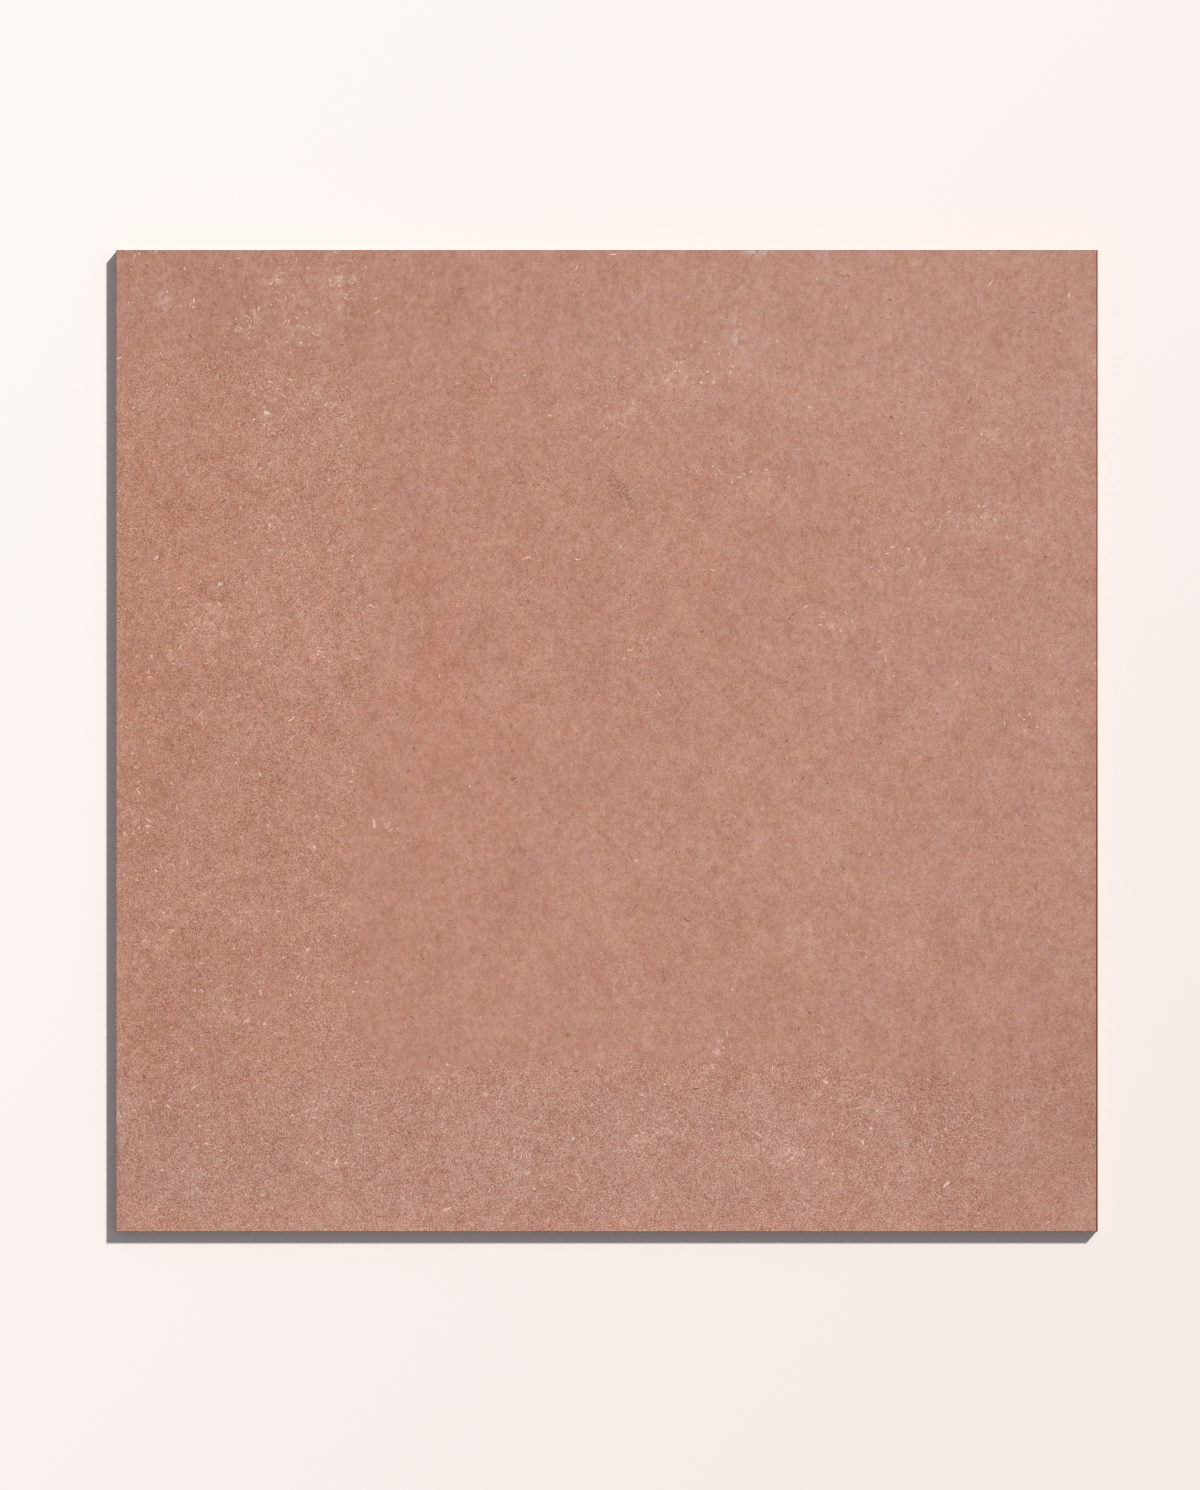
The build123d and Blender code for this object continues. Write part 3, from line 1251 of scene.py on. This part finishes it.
    def build(self) -> bpy.types.Object:
        """Build the tile's skin and dress it.

        Returns:
            The tile, in place of its plain solid.
        """
        upper = self.build_arris(self.build_face())
        self.build_edges(upper, self.build_back())
        mesh = bpy.data.meshes.new(self.piece_name)
        mesh.from_pydata(np.concatenate(self.points).tolist(), [], self.faces, shade_flat=False)
        mesh.set_sharp_from_angle(angle=math.radians(self.crisp_edge_deg))
        for finish in (self.face_finish, self.edge_finish, self.back_finish):
            mesh.materials.append(finish.material())
        material_order = {Stretch.FACE: 0, Stretch.BACK: 2}
        numbers = [material_order.get(stretch, 1) for stretch in self.face_stretches]
        mesh.polygons.foreach_set("material_index", numbers)
        self.lay_out_map(mesh)
        self.lay_marks(mesh)
        mesh.update()
        tile = bpy.data.objects.new(self.piece_name, mesh)
        bpy.context.scene.collection.objects.link(tile)
        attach(tile, self.body)
        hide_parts(self.node)
        return tile


@dataclass
class Studio:
    """The pale floor, the lights and the camera that looks down on the tile."""

    # The photograph's frame, and where the tile and its shadow are in it
    photo_width_px: float = 1200.0
    photo_height_px: float = 1490.0
    tile_left_px: float = 116.35
    tile_right_px: float = 1097.5
    tile_top_px: float = 249.5
    tile_bottom_px: float = 1232.1
    shadow_left_px: float = 9.4
    shadow_below_px: float = 11.45
    lens_mm: float = 200.0
    sensor_mm: float = 36.0
    tile_node: str = TILE_NODE
    shadow_edge_height_mm: float = 8.7
    sun_strength: float = 3.60
    sun_angle_deg: float = 5.0
    # A plain light from below shows the back, through the floor, and reaches nothing that faces up
    under_light_strength: float = 1.9
    under_light_tilt_deg: float = 24.0
    sky_strength: float = 0.28
    sky_colour: str = "#F2F4FF"
    pixel_filter_px: float = 1.1
    floor_half_size: float = 30.0
    floor_gap_mm: float = 0.2
    floor_finish: Finish = PaleFloorPaint()

    def __post_init__(self) -> None:
        """Work out the photograph's scale and the camera's distance from the tile."""
        low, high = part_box(self.tile_node)
        self.top = high.z
        self.foot = low.z
        self.half_length = (high.x - low.x) / 2
        across_px = self.tile_right_px - self.tile_left_px
        up_px = self.tile_bottom_px - self.tile_top_px
        self.metres_per_px = (high.x - low.x + high.y - low.y) / (across_px + up_px)
        self.distance = self.photo_height_px * self.metres_per_px * self.lens_mm / self.sensor_mm

    def add_floor(self) -> None:
        """Lay the floor just under the tile, as stage."""
        half = self.floor_half_size
        corners = [(-half, -half, 0), (half, -half, 0), (half, half, 0), (-half, half, 0)]
        mesh = bpy.data.meshes.new("pale_floor")
        mesh.from_pydata(corners, [], [(0, 1, 2, 3)])
        mesh.materials.append(self.floor_finish.material())
        floor = bpy.data.objects.new("pale_floor", mesh)
        floor.location.z = self.foot - self.floor_gap_mm * MM
        bpy.context.scene.collection.objects.link(floor)

    def shadow_run(self, shown_px: float) -> float:
        """Work out how far the shadow runs on the floor for each metre of height.

        Args:
            shown_px: how far the shadow shows beyond the tile's edge in the photograph.

        Returns:
            The run along the floor, as a share of the height that casts it.
        """
        shown = shown_px * self.metres_per_px
        to_floor = (self.distance + self.top - self.foot) / self.distance
        run = (self.half_length + shown) * to_floor - self.half_length
        return run / (self.shadow_edge_height_mm * MM)

    def add_sun(self, name: str, strength: float, towards: Vector) -> bpy.types.SunLight:
        """Add one soft sun.

        Args:
            name: the lamp's name.
            strength: how bright it is.
            towards: the way that its light goes.

        Returns:
            The light.
        """
        sun = bpy.data.lights.new(name, "SUN")
        sun.energy = strength
        sun.angle = math.radians(self.sun_angle_deg)
        lamp = bpy.data.objects.new(name, sun)
        lamp.rotation_euler = towards.to_track_quat("-Z", "Y").to_euler()
        bpy.context.scene.collection.objects.link(lamp)
        return sun

    def add_light(self) -> None:
        """Light the scene with a soft sun from the upper right, one from below and an even, dim sky."""
        run_x, run_y = (self.shadow_run(shown) for shown in (self.shadow_left_px, self.shadow_below_px))
        self.add_sun("soft_sun", self.sun_strength, Vector((-run_x, -run_y, -1)))
        tilt = math.tan(math.radians(self.under_light_tilt_deg))
        below = self.add_sun("under_light", self.under_light_strength, Vector((0, -tilt, 1)))
        below.use_shadow = False
        sky = bpy.data.worlds.new("even_sky")
        sky.use_nodes = True
        background = sky.node_tree.nodes["Background"]
        background.inputs["Color"].default_value = linear(self.sky_colour)
        background.inputs["Strength"].default_value = self.sky_strength
        # An even sky needs no light samples of its own, and is free of noise without them
        sky.cycles.sampling_method = "NONE"
        bpy.context.scene.world = sky

    def add_camera(self) -> None:
        """Put the scene's camera straight above the tile, moved over as the photograph's framing needs."""
        lens = bpy.data.cameras.new("camera")
        lens.lens = self.lens_mm
        lens.sensor_width = self.sensor_mm
        camera = bpy.data.objects.new("camera", lens)
        across_px = self.photo_width_px / 2 - (self.tile_left_px + self.tile_right_px) / 2
        up_px = (self.tile_top_px + self.tile_bottom_px) / 2 - self.photo_height_px / 2
        camera.location = (
            across_px * self.metres_per_px,
            up_px * self.metres_per_px,
            self.top + self.distance,
        )
        bpy.context.scene.collection.objects.link(camera)
        bpy.context.scene.camera = camera

    def build(self) -> None:
        """Set up the floor, the light, the camera and plain colour rendering."""
        self.add_floor()
        self.add_light()
        self.add_camera()
        bpy.context.scene.view_settings.view_transform = "Standard"
        # The light leaves next to no noise, and denoising would smooth the grain away
        bpy.context.scene.cycles.use_denoising = False
        bpy.context.scene.cycles.filter_width = self.pixel_filter_px


def main() -> None:
    """Build the tile and its studio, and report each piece."""
    logging.basicConfig(level=logging.INFO, format="%(name)s: %(message)s")
    tile = PorcelainTile().build()
    triangles = sum(len(face.vertices) - 2 for face in tile.data.polygons)
    log.info("%s: %d points, %d triangles", tile.name, len(tile.data.vertices), triangles)
    Studio().build()
    log.info("floor, light and camera are in place")


if __name__ == "__main__":
    main()
